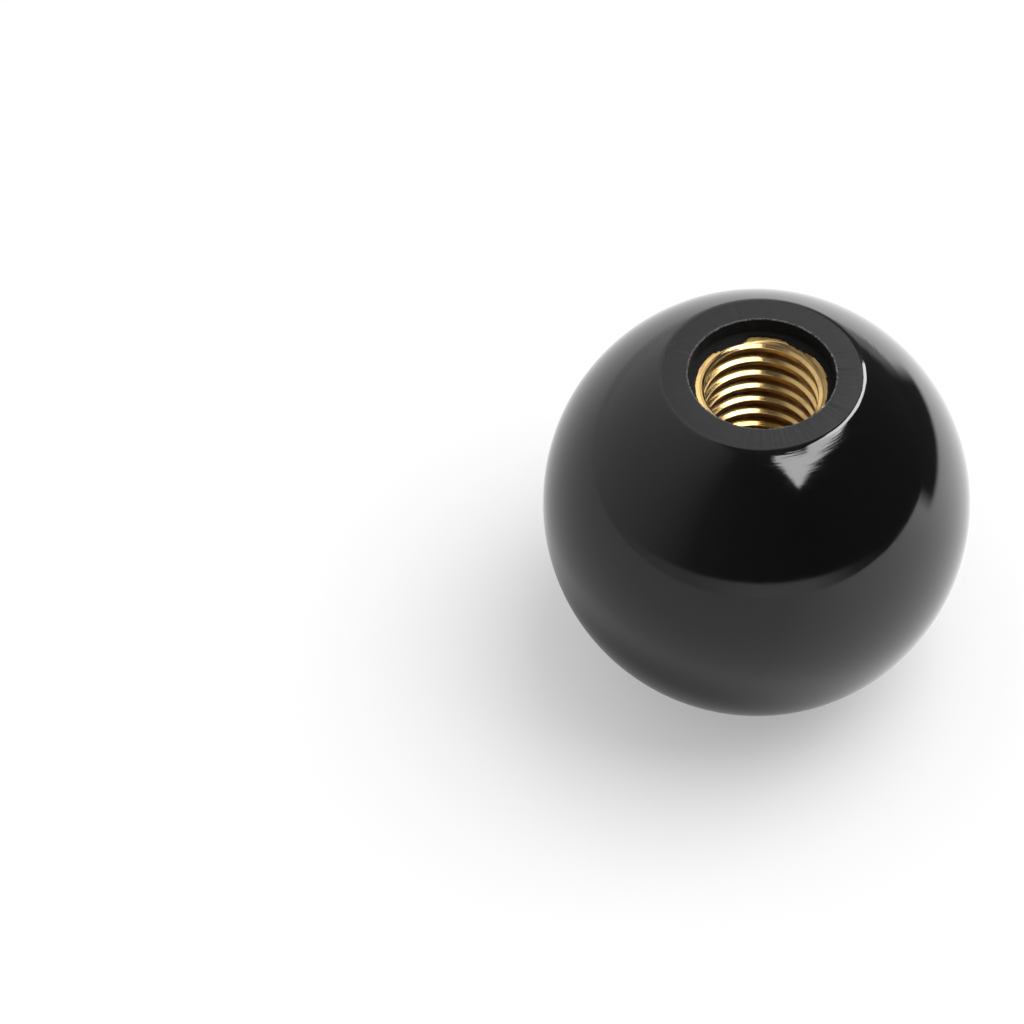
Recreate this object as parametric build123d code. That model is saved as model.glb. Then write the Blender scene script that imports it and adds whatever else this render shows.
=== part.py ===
from build123d import *
from build123d.topology import SkipClean
import math
import os

# Ball knob: a black thermoset ball, moulded round a threaded brass insert.
# The ball's lowest point is the origin, and the thread opens upwards, along +Z.
# Sizes are in millimetres and angles in degrees.

# Ball
ball_diameter = 40.0
seat_diameter = 18.0
seat_edge_radius = 0.4
recess_diameter = 13.0
recess_depth = 1.6
lip_thickness = 0.3
lip_bore_diameter = 12.1

# Insert, outside
insert_length = 22.0
knurl_diameter = 16.0
knurl_depth = 0.45
knurl_teeth = 36
retaining_groove_width = 4.0
retaining_groove_diameter = 13.8

# Insert, inside: a coarse right-hand metric thread
thread_diameter = 12.0
thread_pitch = 1.75
thread_angle = 60.0
thread_depth = 15.5
thread_start_angle = 30.0
drilled_depth = 17.5
drill_point_angle = 118.0
countersink_diameter = 10.6
countersink_angle = 90.0

# Heights and radii that follow from those sizes
ball_radius = ball_diameter / 2
seat_height = ball_radius + math.sqrt(ball_radius**2 - (seat_diameter / 2) ** 2)
recess_floor = seat_height - recess_depth
insert_top = recess_floor - lip_thickness
insert_bottom = insert_top - insert_length

# The thread's sharp V is an eighth filled at its root and a quarter cut off at its crest
half_angle_slope = math.tan(math.radians(thread_angle / 2))
sharp_depth = thread_pitch / 2 / half_angle_slope
root_radius = thread_diameter / 2
sharp_radius = root_radius + sharp_depth / 8
crest_radius = sharp_radius - 3 / 4 * sharp_depth

# The insert is tapped in a bar that is two pitches too long, and then faced to length
facing_allowance = 2 * thread_pitch
bar_top = insert_top + facing_allowance
clear_height = bar_top + thread_pitch


def upright(radius, low, high):
    """A cylinder on the knob's axis between two heights."""
    return Pos(0, 0, low) * Cylinder(radius, high - low, align=(Align.CENTER, Align.CENTER, Align.MIN))


def turned(*points):
    """A solid turned about the knob's axis from the (radius, height) corners of its half section."""
    return revolve(Plane.XZ * make_face(Polyline(*points, close=True)), Axis.Z)


def knurled_bar(top):
    """The bar up to a height, with straight knurling: V-shaped teeth round it, parallel to its axis."""
    crest = knurl_diameter / 2
    valley = crest - knurl_depth
    half_step = math.pi / knurl_teeth
    corners = []
    for half_tooth in range(2 * knurl_teeth):
        radius = valley if half_tooth % 2 else crest
        angle = half_tooth * half_step
        corners.append((radius * math.cos(angle), radius * math.sin(angle)))
    return Pos(0, 0, insert_bottom) * extrude(make_face(Polyline(*corners, close=True)), top - insert_bottom)


def insert_outside(top):
    """The knurled bar up to a height, with one turned groove, which the ball's wall fills."""
    middle = (insert_top + insert_bottom) / 2
    groove_low = middle - retaining_groove_width / 2
    groove_high = middle + retaining_groove_width / 2
    groove = upright(knurl_diameter, groove_low, groove_high)
    groove -= upright(retaining_groove_diameter / 2, groove_low, groove_high)
    return knurled_bar(top) - groove


def drilled_hole():
    """The blind tapping hole, with the cone that the drill's point leaves at its bottom."""
    floor = insert_top - drilled_depth
    tip = floor - crest_radius / math.tan(math.radians(drill_point_angle / 2))
    return turned((0, tip), (crest_radius, floor), (crest_radius, bar_top), (0, bar_top))


def thread_groove():
    """The helical groove that a tap cuts: a V with a flat root, which leaves one ridge per turn."""
    inner_radius = crest_radius - sharp_depth / 8
    root_half_width = (sharp_radius - root_radius) * half_angle_slope
    inner_half_width = (sharp_radius - inner_radius) * half_angle_slope
    section = Polyline(
        (inner_radius, -inner_half_width),
        (root_radius, -root_half_width),
        (root_radius, root_half_width),
        (inner_radius, inner_half_width),
        close=True,
    )
    path = Helix(thread_pitch, thread_depth + thread_pitch, root_radius)
    groove = sweep(Plane.XZ * make_face(section), path=path, is_frenet=True)
    end_angle = thread_start_angle - 360 * thread_depth / thread_pitch
    return Pos(0, 0, insert_top - thread_depth) * Rot(0, 0, end_angle) * groove


def facing_cut():
    """What is turned off the tapped bar's end: the spare length and a countersink at the thread's mouth."""
    edge = countersink_diameter / 2
    apex = insert_top - edge / math.tan(math.radians(countersink_angle / 2))
    return turned(
        (0, apex),
        (edge, insert_top),
        (knurl_diameter, insert_top),
        (knurl_diameter, clear_height),
        (0, clear_height),
    )


def threaded_insert():
    """The knurled, drilled, tapped and faced insert, with its thread's faces split at each quarter turn."""
    quarters = [insert_outside(bar_top) - drilled_hole() - thread_groove() - facing_cut()]
    with SkipClean():
        for plane in (Plane.XZ, Plane.YZ):
            halves = [split(solid, bisect_by=plane, keep=Keep.BOTH) for solid in quarters]
            quarters = [solid for pair in halves for solid in pair.solids()]
        return quarters[0].fuse(*quarters[1:])


def ball():
    """The ball with its flat seat, the seat's rounded edge, the recess and the insert's cavity."""
    body = Pos(0, 0, ball_radius) * Sphere(ball_radius)
    body -= upright(ball_radius, seat_height, ball_diameter)
    seat_edge = body.edges().filter_by(GeomType.CIRCLE).sort_by(Axis.Z)[-1]
    body = fillet(seat_edge, seat_edge_radius)
    body -= upright(recess_diameter / 2, recess_floor, seat_height)
    body -= upright(lip_bore_diameter / 2, insert_top, recess_floor)
    return body - insert_outside(insert_top)


os.makedirs("parts", exist_ok=True)
export_step(ball(), "parts/ball.step")
export_step(threaded_insert(), "parts/threaded_insert.step")
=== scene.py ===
import math
import bmesh
import bpy
import mathutils
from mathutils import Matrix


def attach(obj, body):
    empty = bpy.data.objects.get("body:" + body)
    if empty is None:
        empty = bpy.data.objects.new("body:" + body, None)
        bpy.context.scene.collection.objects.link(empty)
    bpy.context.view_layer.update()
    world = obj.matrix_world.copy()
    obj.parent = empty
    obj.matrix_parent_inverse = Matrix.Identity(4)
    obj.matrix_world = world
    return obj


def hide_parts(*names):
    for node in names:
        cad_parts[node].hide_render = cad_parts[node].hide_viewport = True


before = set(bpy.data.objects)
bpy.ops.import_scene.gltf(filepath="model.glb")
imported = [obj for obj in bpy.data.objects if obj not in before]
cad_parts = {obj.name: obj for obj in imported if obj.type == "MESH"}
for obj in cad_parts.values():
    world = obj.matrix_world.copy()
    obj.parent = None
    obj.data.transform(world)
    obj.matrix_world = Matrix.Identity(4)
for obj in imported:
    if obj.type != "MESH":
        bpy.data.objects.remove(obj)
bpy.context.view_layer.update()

# THREADED INSERT
# A length of brass bar with straight knurling and one turned groove, which hold it in the plastic.
# It is drilled, tapped with a coarse right-hand thread, faced to length and lightly countersunk.
insert_top = 0.0359606
insert_bottom = 0.0139606
knurl_radius = 0.008
knurl_depth = 0.00045
knurl_teeth = 36
retaining_groove_radius = 0.0069
retaining_groove_low = 0.0229606
retaining_groove_high = 0.0269606
thread_pitch = 0.00175
thread_root_radius = 0.006
thread_crest_radius = 0.0050528
thread_inner_radius = 0.00486
thread_slope = math.tan(math.radians(30))
thread_root_width = thread_pitch / 8
thread_depth = 0.0155
thread_start_angle = math.radians(30)
thread_steps = 160
tap_turns = 14
tap_turns_inside = 11
groove_steps = 100
drilled_depth = 0.0175
drill_point_height = 0.003036
countersink_radius = 0.0053
brass_colour = (0.88, 0.6, 0.235, 1)
# Tarnish for the random stains, also the colour of the painted shade on the crests and round the
# flanks
tarnish_and_shade_colour = (0.42, 0.29, 0.17, 1)
# Painted shade: a deeper orange for the turns deep in the hole, as light bounced between brass walls
# colours them
painted_deep_colour = (0.86, 0.5, 0.13, 1)
# The colour of the painted shade in the thread roots
root_shade_colour = (0.2, 0.12, 0.055, 1)
insert_smoothing = math.radians(25)

# The finish on the brass, and the shade painted on it, are placed by radius and height in millimetres
tool_mark_scale = 9.0
tool_mark_stretch = 0.35
tool_mark_relief = 0.000003
patch_scale = 900.0
patch_edge = (0.5, 0.72)
crest_zone = (5.14, 5.07)
root_zone = (5.36, 5.5)
below_face_zone = (35.9, 35.84)
face_zone = (5.4, 5.46)
face_drop = 30.48
painted_deep_zone = (27.4, 25.6)
# A thin painted shade line round the flanks near the top:
shade_line_radius = 5.44
shade_line_width = (0.1, 0.03)
shade_line_zone = (35.2, 35.5)
shade_line_darkness = 0.8
torn_roughness = 0.35


def start_piece(name):
    """Names the primitive that was just added, and puts its size and place into its mesh."""
    piece = bpy.context.object
    piece.name = name
    piece.data.name = name
    bpy.ops.object.transform_apply(location=True, rotation=True, scale=True)
    return piece


def only(piece):
    """Makes a piece the only one that is selected."""
    bpy.ops.object.select_all(action="DESELECT")
    piece.select_set(True)
    bpy.context.view_layer.objects.active = piece


def pick(piece, kind, wanted):
    """Selects the vertices, edges or faces of the piece in edit mode whose middle passes a test."""
    form = bmesh.from_edit_mesh(piece.data)
    for vertex in form.verts:
        vertex.select = False
    for edge in form.edges:
        edge.select = False
    for face in form.faces:
        face.select = False
    for item in getattr(form, kind):
        if kind == "verts":
            middle = item.co
        elif kind == "edges":
            middle = (item.verts[0].co + item.verts[1].co) / 2
        else:
            middle = item.calc_center_median()
        if wanted(middle):
            item.select_set(True)
    form.select_flush_mode()
    bmesh.update_edit_mesh(piece.data)


def draw_profile(piece, corners):
    """Draws a half section from the one selected vertex through (radius, height) corners."""
    for radius, height in corners:
        bpy.ops.mesh.extrude_region()
        end = next(v.co.copy() for v in bmesh.from_edit_mesh(piece.data).verts if v.select)
        bpy.ops.transform.translate(value=(radius - end.x, -end.y, height - end.z))


def turn_profile(steps):
    """Spins the profile round the Z axis into a closed skin with its normals outwards."""
    bpy.ops.mesh.select_all(action="SELECT")
    bpy.ops.mesh.spin(steps=steps, angle=2 * math.pi, center=(0, 0, 0), axis=(0, 0, 1))
    bpy.ops.mesh.select_all(action="SELECT")
    bpy.ops.mesh.remove_doubles(threshold=1e-6)
    bpy.ops.mesh.normals_make_consistent(inside=False)


def cut_away(piece, cutter):
    """Cuts one piece out of another, and clears the cutter away."""
    only(piece)
    cut = piece.modifiers.new("cut", "BOOLEAN")
    cut.operation = "DIFFERENCE"
    cut.solver = "EXACT"
    cut.object = cutter
    bpy.ops.object.modifier_apply(modifier="cut")
    bpy.data.objects.remove(cutter)


bpy.ops.object.select_all(action="DESELECT")
insert_length = insert_top - insert_bottom
bpy.ops.mesh.primitive_cylinder_add(
    vertices=2 * knurl_teeth,
    radius=knurl_radius,
    depth=insert_length,
    location=(0, 0, insert_bottom + insert_length / 2),
)
insert = start_piece("threaded_brass_insert")
bpy.ops.object.mode_set(mode="EDIT")
tooth_angle = 2 * math.pi / knurl_teeth
pick(insert, "verts", lambda p: round(math.atan2(p.y, p.x) / (tooth_angle / 2)) % 2 == 1)
valley_scale = 1 - knurl_depth / knurl_radius
bpy.ops.transform.resize(value=(valley_scale, valley_scale, 1), center_override=(0, 0, 0))
bpy.ops.object.mode_set(mode="OBJECT")

groove_width = retaining_groove_high - retaining_groove_low
groove_centre = retaining_groove_radius + groove_width / 2
bpy.ops.object.select_all(action="DESELECT")
bpy.ops.mesh.primitive_plane_add(
    size=groove_width,
    location=(groove_centre, 0, retaining_groove_low + groove_width / 2),
    rotation=(math.pi / 2, 0, 0),
)
groove_tool = start_piece("groove_tool")
bpy.ops.object.mode_set(mode="EDIT")
bpy.ops.mesh.select_all(action="SELECT")
bpy.ops.mesh.delete(type="ONLY_FACE")
turn_profile(groove_steps)
bpy.ops.object.mode_set(mode="OBJECT")
cut_away(insert, groove_tool)

bpy.ops.object.select_all(action="DESELECT")
drill_length = drilled_depth + thread_pitch
bpy.ops.mesh.primitive_cylinder_add(
    vertices=thread_steps,
    radius=thread_crest_radius,
    depth=drill_length,
    location=(0, 0, insert_top - drilled_depth + drill_length / 2),
)
drill = start_piece("drill")
bpy.ops.object.mode_set(mode="EDIT")
pick(drill, "faces", lambda p: p.z < insert_top - drilled_depth + 1e-6)
bpy.ops.mesh.extrude_region()
bpy.ops.transform.translate(value=(0, 0, -drill_point_height))
bpy.ops.mesh.merge(type="CENTER")
bpy.ops.object.mode_set(mode="OBJECT")
cut_away(insert, drill)

bpy.ops.object.select_all(action="DESELECT")
bpy.ops.mesh.primitive_plane_add(size=thread_pitch, location=(0, 0, 0))
tap = start_piece("tap")
bpy.ops.object.mode_set(mode="EDIT")
bpy.ops.mesh.select_all(action="SELECT")
bpy.ops.mesh.merge(type="CENTER")
flank_height = (thread_root_radius - thread_inner_radius) * thread_slope
tap_low = insert_top - thread_depth
groove_middle = insert_top - thread_pitch * thread_start_angle / (2 * math.pi)
first_groove = groove_middle - tap_turns_inside * thread_pitch - thread_root_width / 2 - flank_height
bpy.ops.transform.translate(value=(thread_inner_radius, 0, first_groove))
draw_profile(
    tap,
    [
        (thread_root_radius, first_groove + flank_height),
        (thread_root_radius, first_groove + flank_height + thread_root_width),
        (thread_inner_radius, first_groove + 2 * flank_height + thread_root_width),
        (thread_inner_radius, first_groove + thread_pitch),
    ],
)
bpy.ops.object.mode_set(mode="OBJECT")
winding = tap.modifiers.new("winding", "SCREW")
winding.angle = 2 * math.pi
winding.screw_offset = thread_pitch
winding.steps = thread_steps
winding.render_steps = thread_steps
winding.iterations = tap_turns
winding.use_merge_vertices = True
winding.merge_threshold = 1e-7
only(tap)
bpy.ops.object.modifier_apply(modifier="winding")
bpy.ops.object.mode_set(mode="EDIT")
bpy.ops.mesh.select_all(action="SELECT")
bpy.ops.mesh.remove_doubles(threshold=1e-7)
bpy.ops.mesh.bisect(plane_co=(0, 0, tap_low), plane_no=(0, 0, 1), clear_inner=True, use_fill=True)
bpy.ops.mesh.select_all(action="SELECT")
bpy.ops.mesh.bisect(
    plane_co=(0, 0, insert_top + thread_pitch / 2),
    plane_no=(0, 0, 1),
    clear_outer=True,
    use_fill=True,
)
bpy.ops.mesh.select_all(action="SELECT")
bpy.ops.mesh.normals_make_consistent(inside=False)
bpy.ops.object.mode_set(mode="OBJECT")
cut_away(insert, tap)

bpy.ops.object.select_all(action="DESELECT")
cone_height = countersink_radius + thread_pitch
bpy.ops.mesh.primitive_cone_add(
    vertices=thread_steps,
    radius1=0,
    radius2=cone_height,
    depth=cone_height,
    location=(0, 0, insert_top - countersink_radius + cone_height / 2),
)
countersink = start_piece("countersink")
cut_away(insert, countersink)
bpy.ops.object.mode_set(mode="EDIT")
bpy.ops.mesh.select_all(action="SELECT")
bpy.ops.mesh.remove_doubles(threshold=1e-6)
bpy.ops.object.mode_set(mode="OBJECT")
only(insert)
bpy.ops.object.shade_smooth_by_angle(angle=insert_smoothing)


def put(tree, kind, settings=None, inputs=None):
    """Adds a shader node, sets its properties, fills or links its sockets, and returns its outputs."""
    made = tree.nodes.new("ShaderNode" + kind)
    for name, value in (settings or {}).items():
        setattr(made, name, value)
    for socket, value in (inputs or {}).items():
        if isinstance(value, bpy.types.NodeSocket):
            tree.links.new(value, made.inputs[socket])
        else:
            made.inputs[socket].default_value = value
    return made.outputs


def work_out(tree, operation, first, second=0.0):
    """One step of arithmetic on a pattern."""
    return put(tree, "Math", {"operation": operation}, {0: first, 1: second})[0]


def fade(tree, value, start, end, low=0.0, high=1.0):
    """Goes smoothly from low to high while a value goes from start to end."""
    limits = {"Value": value, "From Min": start, "From Max": end, "To Min": low, "To Max": high}
    return put(tree, "MapRange", {"interpolation_type": "SMOOTHSTEP"}, limits)[0]


def grain(tree, along, scale, detail=2.0):
    """A noise pattern, from 0 to 1, on the given coordinates."""
    return put(tree, "TexNoise", inputs={"Vector": along, "Scale": scale, "Detail": detail})[0]


def mix_colours(tree, factor, first, second):
    """Goes from one colour to another while the factor goes from 0 to 1."""
    return put(tree, "Mix", {"data_type": "RGBA"}, {"Factor": factor, 6: first, 7: second})[2]


def add_relief(tree, shader, height, depth):
    """Roughens the surface with a pattern's height, times a depth in metres."""
    bump = put(tree, "Bump", inputs={"Strength": 1.0, "Distance": depth, "Height": height})[0]
    tree.links.new(bump, shader.inputs["Normal"])


def lathe_places(tree):
    """The radius and height in millimetres and the angle from the back, all round the knob's axis."""
    axes = put(tree, "SeparateXYZ", inputs={0: put(tree, "TexCoord")["Object"]})
    flat = put(tree, "CombineXYZ", inputs={0: axes[0], 1: axes[1]})[0]
    length = put(tree, "VectorMath", {"operation": "LENGTH"}, {0: flat})["Value"]
    angle = work_out(tree, "ARCTAN2", work_out(tree, "MULTIPLY", axes[0], -1.0), axes[1])
    radius = work_out(tree, "MULTIPLY", length, 1000.0)
    height = work_out(tree, "MULTIPLY", axes[2], 1000.0)
    return radius, height, angle


def new_finish(name, colour, roughness):
    """A material with a base colour and a roughness. Returns it, its node tree and its shader."""
    finish = bpy.data.materials.new(name)
    finish.use_nodes = True
    shader = finish.node_tree.nodes["Principled BSDF"]
    shader.inputs["Base Color"].default_value = colour
    shader.inputs["Roughness"].default_value = roughness
    return finish, finish.node_tree, shader


brass, tree, shader = new_finish("tapped_brass", brass_colour, 0.2)
shader.inputs["Metallic"].default_value = 1.0
radius, height, angle = lathe_places(tree)
turns = work_out(tree, "MULTIPLY", angle, thread_pitch * 1000 / (2 * math.pi))
run = work_out(tree, "SUBTRACT", height, turns)
arc = work_out(tree, "MULTIPLY", angle, tool_mark_stretch)
helix = put(tree, "CombineXYZ", inputs={0: radius, 1: run, 2: arc})[0]
tool_marks = grain(tree, helix, tool_mark_scale, 3.0)
grit = grain(tree, put(tree, "TexCoord")["Object"], patch_scale, 3.0)
patches = fade(tree, grit, *patch_edge)
# Painted shade: a thin dark line round the flanks near the top, at 5.44 mm radius.
shade_line_gap = work_out(tree, "ABSOLUTE", work_out(tree, "SUBTRACT", radius, shade_line_radius))
shade_line_ring = fade(tree, shade_line_gap, *shade_line_width)
shade_line = work_out(tree, "MULTIPLY", shade_line_ring, fade(tree, height, *shade_line_zone))
crests = fade(tree, radius, *crest_zone)
stain = work_out(tree, "MULTIPLY", patches, fade(tree, tool_marks, 0.35, 0.65, 0.2, 0.8))
stain_and_shade = work_out(tree, "MAXIMUM", stain, work_out(tree, "MULTIPLY", shade_line, shade_line_darkness))
# Painted shade: the crest flats, which face into the dim hole, are painted darker.
crest_shade = work_out(tree, "MULTIPLY", crests, fade(tree, tool_marks, 0.4, 0.6, 0.9, 0.45))
stain_and_shade = work_out(tree, "MAXIMUM", stain_and_shade, crest_shade)
# Painted shade: the turns deep in the hole are painted a deeper orange, as light bounced between brass
# walls colours them.
painted_deep = fade(tree, height, *painted_deep_zone)
colour = mix_colours(tree, painted_deep, brass_colour, painted_deep_colour)
# Random tarnish stains, with the painted shade on the crests and round the flanks laid over them.
colour = mix_colours(tree, stain_and_shade, colour, tarnish_and_shade_colour)
below_face = fade(tree, height, *below_face_zone)
# Painted shade: the root side of the flanks below the face is painted dark brown, streaked along the
# thread; it also roughens them.
roots = work_out(tree, "MULTIPLY", fade(tree, radius, *root_zone), below_face)
root_shade = work_out(tree, "MULTIPLY", roots, fade(tree, tool_marks, 0.35, 0.6, 0.95, 0.5))
colour = mix_colours(tree, root_shade, colour, root_shade_colour)
tree.links.new(colour, shader.inputs["Base Color"])
lowered = work_out(tree, "SUBTRACT", height, face_drop)
faced = fade(tree, work_out(tree, "MINIMUM", radius, lowered), *face_zone)
torn = work_out(tree, "MAXIMUM", crests, work_out(tree, "MAXIMUM", faced, root_shade))
torn = work_out(tree, "MULTIPLY", torn, torn_roughness)
roughness = work_out(tree, "ADD", fade(tree, tool_marks, 0.3, 0.7, 0.1, 0.2), torn)
tree.links.new(roughness, shader.inputs["Roughness"])
add_relief(tree, shader, tool_marks, tool_mark_relief)
insert.data.materials.append(brass)
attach(insert, "root")
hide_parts("threaded_insert")

# BALL
# A black thermoset ball, moulded round the insert and then polished all over. The seat is turned
# flat on it. A thin torn flash of plastic, on a plain recess's floor, runs in over the insert's end.
ball_radius = 0.02
seat_radius = 0.009
seat_height = 0.03786058
seat_edge_width = 0.0002
recess_radius = 0.0065
recess_floor = 0.0362606
recess_edge_width = 0.00007
lip_radius = 0.0061
flash_radius = 0.00606
flash_thickness = 0.00006
flash_tears = [
    (15, 42, 0.00595),
    (42, 46, 0.00588),
    (46, 50, 0.0058),
    (50, 57, 0.00571),
    (57, 61, 0.00565),
    (61, 67, 0.00573),
    (67, 70, 0.00583),
    (70, 75, 0.00598),
    (104, 106, 0.00585),
    (106, 109, 0.00566),
    (109, 120, 0.0055),
    (120, 134, 0.00556),
    (134, 138, 0.00572),
    (138, 165, 0.00588),
    (165, 180, 0.00584),
    (-180, 15, 0.00584),
]
flash_roughness = 0.00004
flash_seed = 4
recess_edge_seed = 9
ball_points = 256
ball_steps = 360
seat_edge_steps = 5
ball_smoothing = math.radians(20)
polish_ior = 1.55
moulding_colour = (0.002, 0.002, 0.0021, 1)
buffed_colour = (0.0028, 0.0028, 0.003, 1)
turned_colour = (0.005, 0.005, 0.0053, 1)
chipped_colour = (0.16, 0.16, 0.16, 1)

# The polish, the lathe marks and the chips are placed by radius and height in millimetres
lathe_mark_scale = 4.0
lathe_mark_stretch = 0.7
lathe_mark_reach = (14.0, 9.5)
lathe_mark_side = (24.0, 30.0)
buffing_scale = 700.0
buffing_share = 0.25
polish_relief = 0.00001
feed_mark_scale = 11.0
feed_mark_stretch = 1.2
turned_specular = 0.28
turned_relief = 0.000004
chip_scale = 9000.0
chip_share = 2.0
chip_middle = recess_radius * 1000 + 0.04
chip_width = (0.14, 0.03)
chip_zone = (37.7, 37.8)
dull_zone = (37.78, 37.7)
dull_roughness = 0.4

bpy.ops.object.select_all(action="DESELECT")
bpy.ops.mesh.primitive_circle_add(
    vertices=ball_points,
    radius=ball_radius,
    location=(0, 0, ball_radius),
    rotation=(math.pi / 2, 0, 0),
)
ball = start_piece("thermoset_ball")
bpy.ops.object.mode_set(mode="EDIT")
bpy.ops.mesh.select_all(action="SELECT")
bpy.ops.mesh.bisect(plane_co=(0, 0, seat_height), plane_no=(0, 0, 1), clear_outer=True)
bpy.ops.mesh.select_all(action="SELECT")
bpy.ops.mesh.bisect(plane_co=(0, 0, 0), plane_no=(1, 0, 0), clear_inner=True)
pick(ball, "verts", lambda p: p.z > seat_height - 1e-6)
draw_profile(
    ball,
    [
        (recess_radius + recess_edge_width, seat_height),
        (recess_radius, seat_height - recess_edge_width),
        (recess_radius, recess_floor),
        (lip_radius, recess_floor),
        (flash_radius, insert_top + flash_thickness),
        (flash_radius, insert_top),
        (knurl_radius, insert_top),
        (knurl_radius, retaining_groove_high),
        (retaining_groove_radius, retaining_groove_high),
        (retaining_groove_radius, retaining_groove_low),
        (knurl_radius, retaining_groove_low),
        (knurl_radius, insert_bottom),
        (0, insert_bottom),
    ],
)
turn_profile(ball_steps)
pick(
    ball,
    "edges",
    lambda p: p.z > seat_height - 1e-6 and math.hypot(p.x, p.y) > seat_radius - 1e-5,
)
bpy.ops.mesh.bevel(offset=seat_edge_width, segments=seat_edge_steps, profile=0.5)
for start, end, reach in flash_tears:
    pick(
        ball,
        "verts",
        lambda p: abs(math.hypot(p.x, p.y) - flash_radius) < 1e-6
        and start < math.degrees(math.atan2(p.y, p.x)) < end,
    )
    tear_scale = reach / flash_radius
    bpy.ops.transform.resize(value=(tear_scale, tear_scale, 1), center_override=(0, 0, 0))
pick(ball, "verts", lambda p: p.z > insert_top - 1e-6 and math.hypot(p.x, p.y) < flash_radius + 1e-6)
bpy.ops.transform.vertex_random(offset=flash_roughness, uniform=1.0, seed=flash_seed)
recess_edge_low = seat_height - recess_edge_width - 1e-6
pick(
    ball,
    "verts",
    lambda p: p.z > recess_edge_low and math.hypot(p.x, p.y) < recess_radius + 1e-4,
)
bpy.ops.transform.vertex_random(offset=recess_edge_width / 2, uniform=1.0, seed=recess_edge_seed)
pick(ball, "verts", lambda p: p.z > seat_height and math.hypot(p.x, p.y) < recess_radius + 3e-4)
bpy.ops.transform.resize(value=(1, 1, 0), center_override=(0, 0, seat_height))
bpy.ops.object.mode_set(mode="OBJECT")
only(ball)
bpy.ops.object.shade_smooth_by_angle(angle=ball_smoothing)

polished, tree, shader = new_finish("polished_thermoset", moulding_colour, 0.07)
shader.inputs["IOR"].default_value = polish_ior
radius, height, angle = lathe_places(tree)
arc = work_out(tree, "MULTIPLY", angle, lathe_mark_stretch)
rings = put(tree, "CombineXYZ", inputs={0: radius, 1: height, 2: arc})[0]
lathe_marks = grain(tree, rings, lathe_mark_scale, 4.0)
near_seat = fade(tree, radius, *lathe_mark_reach)
marked = work_out(tree, "MULTIPLY", near_seat, fade(tree, height, *lathe_mark_side))
buffing = grain(tree, put(tree, "TexCoord")["Object"], buffing_scale, 2.0)
ridges = work_out(tree, "MULTIPLY", lathe_marks, marked)
polish_waves = work_out(tree, "ADD", ridges, work_out(tree, "MULTIPLY", buffing, buffing_share))
add_relief(tree, shader, polish_waves, polish_relief)
tree.links.new(fade(tree, buffing, 0.3, 0.7, 0.06, 0.085), shader.inputs["Roughness"])
tree.links.new(mix_colours(tree, buffing, moulding_colour, buffed_colour), shader.inputs["Base Color"])

turned, tree, shader = new_finish("turned_thermoset", turned_colour, 0.5)
shader.inputs["IOR"].default_value = polish_ior
shader.inputs["Specular IOR Level"].default_value = turned_specular
radius, height, angle = lathe_places(tree)
arc = work_out(tree, "MULTIPLY", angle, feed_mark_stretch)
rings = put(tree, "CombineXYZ", inputs={0: radius, 1: height, 2: arc})[0]
feed_marks = grain(tree, rings, feed_mark_scale, 2.0)
edge_gap = work_out(tree, "ABSOLUTE", work_out(tree, "SUBTRACT", radius, chip_middle))
at_edge = fade(tree, edge_gap, *chip_width)
near_edge = work_out(tree, "MULTIPLY", at_edge, fade(tree, height, *chip_zone))
crumbs = fade(tree, grain(tree, put(tree, "TexCoord")["Object"], chip_scale, 2.0), 0.42, 0.62)
chips = work_out(tree, "MULTIPLY", near_edge, crumbs)
tree.links.new(mix_colours(tree, chips, turned_colour, chipped_colour), shader.inputs["Base Color"])
dull = work_out(tree, "MULTIPLY", fade(tree, height, *dull_zone), dull_roughness)
roughness = work_out(tree, "ADD", fade(tree, feed_marks, 0.3, 0.7, 0.5, 0.6), dull)
tree.links.new(roughness, shader.inputs["Roughness"])
turned_waves = work_out(tree, "ADD", feed_marks, work_out(tree, "MULTIPLY", chips, chip_share))
add_relief(tree, shader, turned_waves, turned_relief)

ball.data.materials.append(polished)
ball.data.materials.append(turned)
bpy.ops.object.mode_set(mode="EDIT")
pick(
    ball,
    "faces",
    lambda p: p.z > insert_top - 1e-6 and math.hypot(p.x, p.y) < seat_radius - seat_edge_width * 1.1,
)
ball.active_material_index = 1
bpy.ops.object.material_slot_assign()
bpy.ops.object.mode_set(mode="OBJECT")
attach(ball, "root")
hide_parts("ball")

# TABLE
# A pale table top, in one with the pale sweep of the studio. It keeps the knob's soft shadow.
# Polished surfaces see a painted glow on it instead: brighter towards the right, with a painted
# shadow under the ball and a painted dark patch far out at the right.
table_radius = 4
table_points = 128
table_colour = (0.92, 0.92, 0.92, 1)
bright_side = math.radians(40)
# The painted shadow under the ball in the glow that polished surfaces see:
shade_middle = (-0.008, -0.006, 0)
shade_reach = (0.013, 0.03)
shade_level = 0.35
# A painted dark patch in that glow, far out at the right:
dark_patch_side = math.radians(30)
dark_patch_near = 0.14
dark_patch_far = 0.22
dark_patch_width = (0.88, 0.95)
dark_patch_cover = 0.96
blend_reach = (0.05, 0.4)
blend_start = 0.25
glow_strength = 2.3
glow_round = [
    (0.0, 0.3),
    (0.11, 0.3),
    (0.2, 0.31),
    (0.305, 0.33),
    (0.43, 0.4),
    (0.568, 0.48),
    (0.695, 0.55),
    (0.8, 0.64),
    (0.89, 0.82),
    (1.0, 0.86),
]
bpy.ops.object.select_all(action="DESELECT")
bpy.ops.mesh.primitive_circle_add(
    vertices=table_points, radius=table_radius, fill_type="NGON", location=(0, 0, 0)
)
table = start_piece("table")
table_paint = bpy.data.materials.new("table_paint")
table_paint.use_nodes = True
tree = table_paint.node_tree
tree.nodes.clear()


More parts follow.
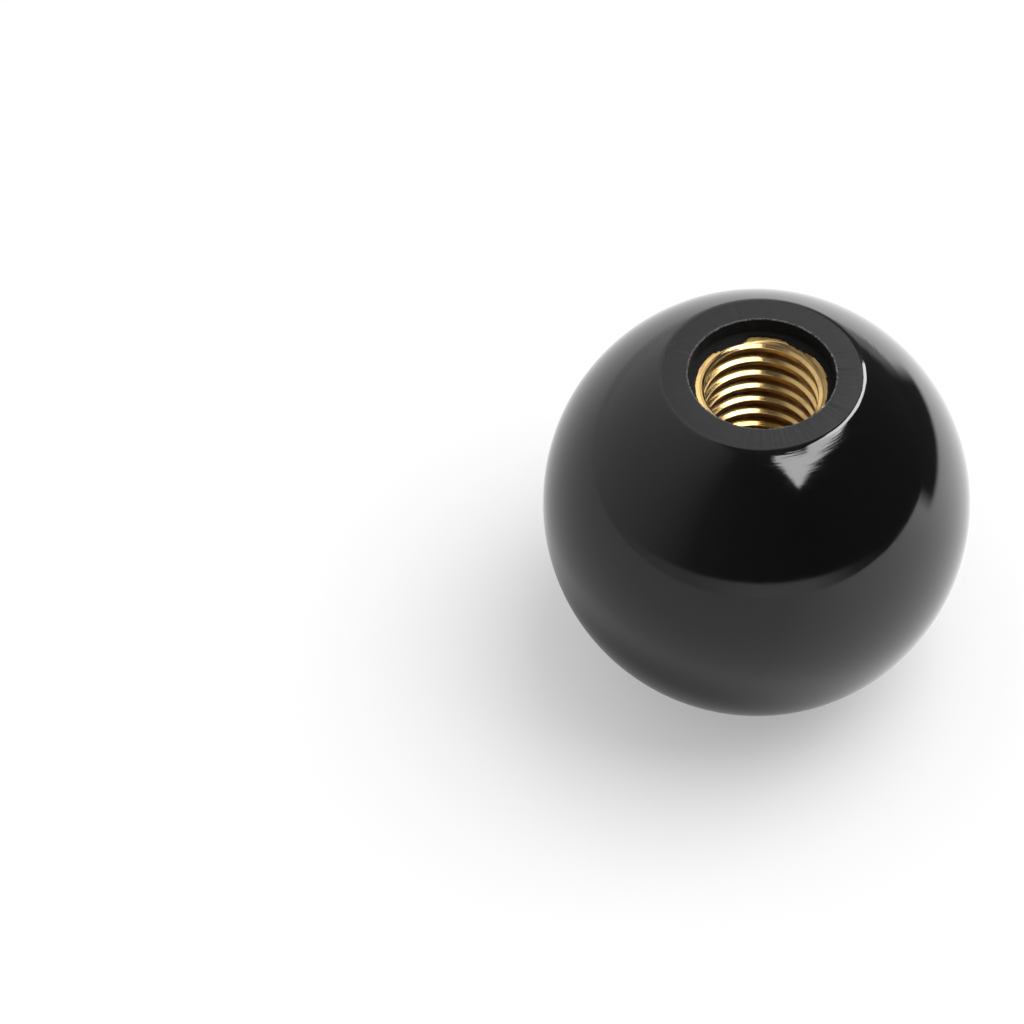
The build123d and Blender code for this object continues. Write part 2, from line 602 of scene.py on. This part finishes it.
def shown_rays(tree):
    """A factor that is 1 for camera, glossy and transmission rays and 0 for the rest."""
    path = put(tree, "LightPath")
    first = work_out(tree, "MAXIMUM", path["Is Camera Ray"], path["Is Glossy Ray"])
    return work_out(tree, "MAXIMUM", first, path["Is Transmission Ray"])


def stops(tree, value, marks):
    """A curve through (place, level) marks, with places from 0 to 1."""
    made = tree.nodes.new("ShaderNodeValToRGB")
    tree.links.new(value, made.inputs[0])
    ramp = made.color_ramp
    while len(ramp.elements) < len(marks):
        ramp.elements.new(0.5)
    for element, (position, level) in zip(ramp.elements, marks):
        element.position = position
        element.color = (level, level, level, 1)
    return made.outputs[0]


place = put(tree, "TexCoord")["Object"]
distance = put(tree, "VectorMath", {"operation": "LENGTH"}, {0: place})["Value"]
# Painted light: the glow is brighter towards the right, as if a lamp there lit the table.
bright_way = (math.cos(bright_side), math.sin(bright_side), 0)
along = put(tree, "VectorMath", {"operation": "DOT_PRODUCT"}, {0: place, 1: bright_way})["Value"]
toward = work_out(tree, "DIVIDE", along, work_out(tree, "ADD", distance, 0.02))
side = put(tree, "MapRange", inputs={"Value": toward, "From Min": -1.0})[0]
side_glow_level = stops(tree, side, glow_round)
# Painted shadow: the glow is darker close under the ball, centred to the left and front.
shade_gap = put(tree, "VectorMath", {"operation": "DISTANCE"}, {0: place, 1: shade_middle})["Value"]
painted_shadow_level = fade(tree, shade_gap, *shade_reach, shade_level, 1.0)
# Painted dark patch: far out at the right the glow is cut to a few per cent.
dark_patch_way = (math.cos(dark_patch_side), math.sin(dark_patch_side), 0)
dark_patch_along = put(tree, "VectorMath", {"operation": "DOT_PRODUCT"}, {0: place, 1: dark_patch_way})["Value"]
dark_patch = fade(tree, work_out(tree, "DIVIDE", dark_patch_along, distance), *dark_patch_width)
dark_patch = work_out(tree, "MULTIPLY", dark_patch, fade(tree, distance, dark_patch_near, dark_patch_far))
glow_level = work_out(tree, "MULTIPLY", side_glow_level, painted_shadow_level)
glow_level = work_out(tree, "MULTIPLY", glow_level, glow_strength)
uncovered = work_out(tree, "SUBTRACT", 1.0, work_out(tree, "MULTIPLY", dark_patch, dark_patch_cover))
glow_level = work_out(tree, "MULTIPLY", glow_level, uncovered)
paint = put(tree, "BsdfDiffuse", inputs={"Color": table_colour})[0]
white = put(tree, "Emission", inputs={"Color": (1, 1, 1, 1)})[0]
# Painted glow: what polished surfaces see of the table, in place of its lit paint.
painted_glow = put(tree, "Emission", inputs={"Color": (1, 1, 1, 1), "Strength": glow_level})[0]
blend = fade(tree, distance, *blend_reach, blend_start, 1.0)
far_away = work_out(tree, "MULTIPLY", blend, shown_rays(tree))
seen = put(tree, "MixShader", inputs={0: far_away, 1: paint, 2: white})[0]
mirrored = put(tree, "LightPath")["Is Glossy Ray"]
mixed = put(tree, "MixShader", inputs={0: mirrored, 1: seen, 2: painted_glow})[0]
put(tree, "OutputMaterial", inputs={0: mixed})
table.data.materials.append(table_paint)

# STUDIO
# A pale room. Its walls, which only a polished surface shows, are pale at the left and dark behind
# the camera and at the right. One soft panel hangs above and to the right, and a soft lamp fills in.
sky_fill = 0.7
world = bpy.data.worlds.new("studio")
bpy.context.scene.world = world
world.use_nodes = True
tree = world.node_tree
tree.nodes.clear()
sky_level = put(tree, "MapRange", inputs={"Value": shown_rays(tree), "To Min": sky_fill})[0]
sky = put(tree, "Background", inputs={"Color": (1, 1, 1, 1), "Strength": sky_level})[0]
put(tree, "OutputWorld", inputs={0: sky})


def only_mirrored(thing):
    """Leaves a stage piece to be seen in polished surfaces alone."""
    thing.visible_camera = False
    thing.visible_diffuse = False
    thing.visible_shadow = False
    thing.visible_transmission = False
    thing.visible_volume_scatter = False


wall_distance = 2.0
wall_segments = 96
wall_round = [
    (0.0, 1.0),
    (0.08, 1.0),
    (0.14, 0.86),
    (0.19, 0.72),
    (0.25, 0.6),
    (0.31, 0.48),
    (0.36, 0.33),
    (0.41, 0.12),
    (0.47, 0.07),
    (0.58, 0.045),
    (0.78, 0.06),
    (0.9, 0.12),
    (0.96, 0.25),
    (1.0, 1.0),
]
low_wall_round = [
    (0.0, 1.0),
    (0.3, 0.5),
    (0.42, 0.5),
    (0.5, 0.8),
    (0.58, 0.82),
    (0.64, 0.2),
    (0.68, 0.08),
    (0.885, 0.08),
    (0.91, 0.8),
    (1.0, 1.0),
]
wall_lean = 0.15
horizon_width = (-0.02, 0.02)
ceiling_zone = (0.93, 0.99)
ceiling_level = 0.14
bpy.ops.object.select_all(action="DESELECT")
bpy.ops.mesh.primitive_uv_sphere_add(
    segments=wall_segments, ring_count=wall_segments // 2, radius=wall_distance, location=(0, 0, 0)
)
walls = start_piece("studio_walls")
only_mirrored(walls)
wall_paint = bpy.data.materials.new("wall_paint")
wall_paint.use_nodes = True
tree = wall_paint.node_tree
tree.nodes.clear()
bearing = put(tree, "VectorMath", {"operation": "NORMALIZE"}, {0: put(tree, "TexCoord")["Object"]})[0]
axes = put(tree, "SeparateXYZ", inputs={0: bearing})
azimuth = work_out(tree, "ARCTAN2", axes[0], work_out(tree, "MULTIPLY", axes[1], -1.0))
turn = put(tree, "MapRange", inputs={"Value": azimuth, "From Min": -math.pi, "From Max": math.pi})[0]
leaning = work_out(tree, "MULTIPLY", work_out(tree, "ABSOLUTE", axes[1]), wall_lean)
above = fade(tree, work_out(tree, "SUBTRACT", axes[2], leaning), *horizon_width)
high_level = stops(tree, turn, wall_round)
low_level = stops(tree, turn, low_wall_round)
wall_level = put(tree, "Mix", inputs={"Factor": above, 2: low_level, 3: high_level})[0]
ceiling = fade(tree, axes[2], *ceiling_zone)
wall_level = put(tree, "Mix", inputs={"Factor": ceiling, 2: wall_level, 3: ceiling_level})[0]
put(tree, "OutputMaterial", inputs={0: put(tree, "Emission", inputs={"Strength": wall_level})[0]})
walls.data.materials.append(wall_paint)

panel_rise = 0.6
panel_corners = [
    (0.46, -0.63),
    (0.54, -0.38),
    (0.7, -0.1),
    (0.83, 0.18),
    (0.8, 0.42),
    (0.88, 0.7),
    (0.97, 1.0),
    (1.1, 1.38),
    (1.2, 1.95),
    (1.05, 1.7),
    (0.6, 1.27),
    (0.33, 1.05),
    (0.33, 0.4),
    (0.45, -0.2),
]
panel_start = (0.117, -0.297)
panel_near_radiance = 8
panel_far_radiance = 12
panel_bright_zone = (0.0, 0.15)
bpy.ops.object.select_all(action="DESELECT")
bpy.ops.mesh.primitive_plane_add(size=panel_rise, location=(0, 0, 0))
panel = start_piece("soft_panel")
bpy.ops.object.mode_set(mode="EDIT")
bpy.ops.mesh.select_all(action="SELECT")
bpy.ops.mesh.merge(type="CENTER")
start = (panel_start[0] * panel_rise, panel_start[1] * panel_rise, panel_rise + insert_top)
bpy.ops.transform.translate(value=start)
place = panel_start
for corner in panel_corners:
    bpy.ops.mesh.extrude_region()
    step = ((corner[0] - place[0]) * panel_rise, (corner[1] - place[1]) * panel_rise, 0)
    bpy.ops.transform.translate(value=step)
    place = corner
bpy.ops.mesh.select_all(action="SELECT")
bpy.ops.mesh.edge_face_add()
bpy.ops.object.mode_set(mode="OBJECT")
only_mirrored(panel)
panel_light = bpy.data.materials.new("panel_light")
panel_light.use_nodes = True
tree = panel_light.node_tree
tree.nodes.clear()
panel_depth = put(tree, "SeparateXYZ", inputs={0: put(tree, "TexCoord")["Object"]})[1]
panel_level = fade(tree, panel_depth, *panel_bright_zone, panel_near_radiance, panel_far_radiance)
put(tree, "OutputMaterial", inputs={0: put(tree, "Emission", inputs={"Strength": panel_level})[0]})
panel.data.materials.append(panel_light)

lamp_place = (0.25, 0.05, 0.6)
lamp_tilt = math.radians(22)
lamp_size = 0.5
lamp_power = 2.6
bpy.ops.object.light_add(type="AREA", location=lamp_place, rotation=(0, lamp_tilt, 0))
lamp = bpy.context.object
lamp.name = "soft_lamp"
lamp.data.size = lamp_size
lamp.data.energy = lamp_power
lamp.visible_glossy = False

# CAMERA
# It looks down into the thread from the front, aimed at the ball's middle. The picture is shifted
# to put the knob in the right half of the frame.
camera_distance = 0.2
camera_elevation = math.radians(50.62)
camera_roll = math.radians(2.3)
camera_lens = 74.89
frame_shift_across = -0.2393
frame_shift_up = -0.0097
bpy.ops.object.camera_add(
    location=(
        0,
        -camera_distance * math.cos(camera_elevation),
        ball_radius + camera_distance * math.sin(camera_elevation),
    )
)
camera = bpy.context.object
camera.data.sensor_width = 36
camera.data.lens = camera_lens
camera.data.shift_x = frame_shift_across
camera.data.shift_y = frame_shift_up
camera.data.clip_start = 0.01
camera.data.clip_end = 20
look = mathutils.Matrix.Rotation(math.pi / 2 - camera_elevation, 3, "X")
roll = mathutils.Matrix.Rotation(camera_roll, 3, "Z")
camera.rotation_euler = (look @ roll).to_euler()
bpy.context.scene.camera = camera
bpy.context.scene.view_settings.view_transform = "Standard"
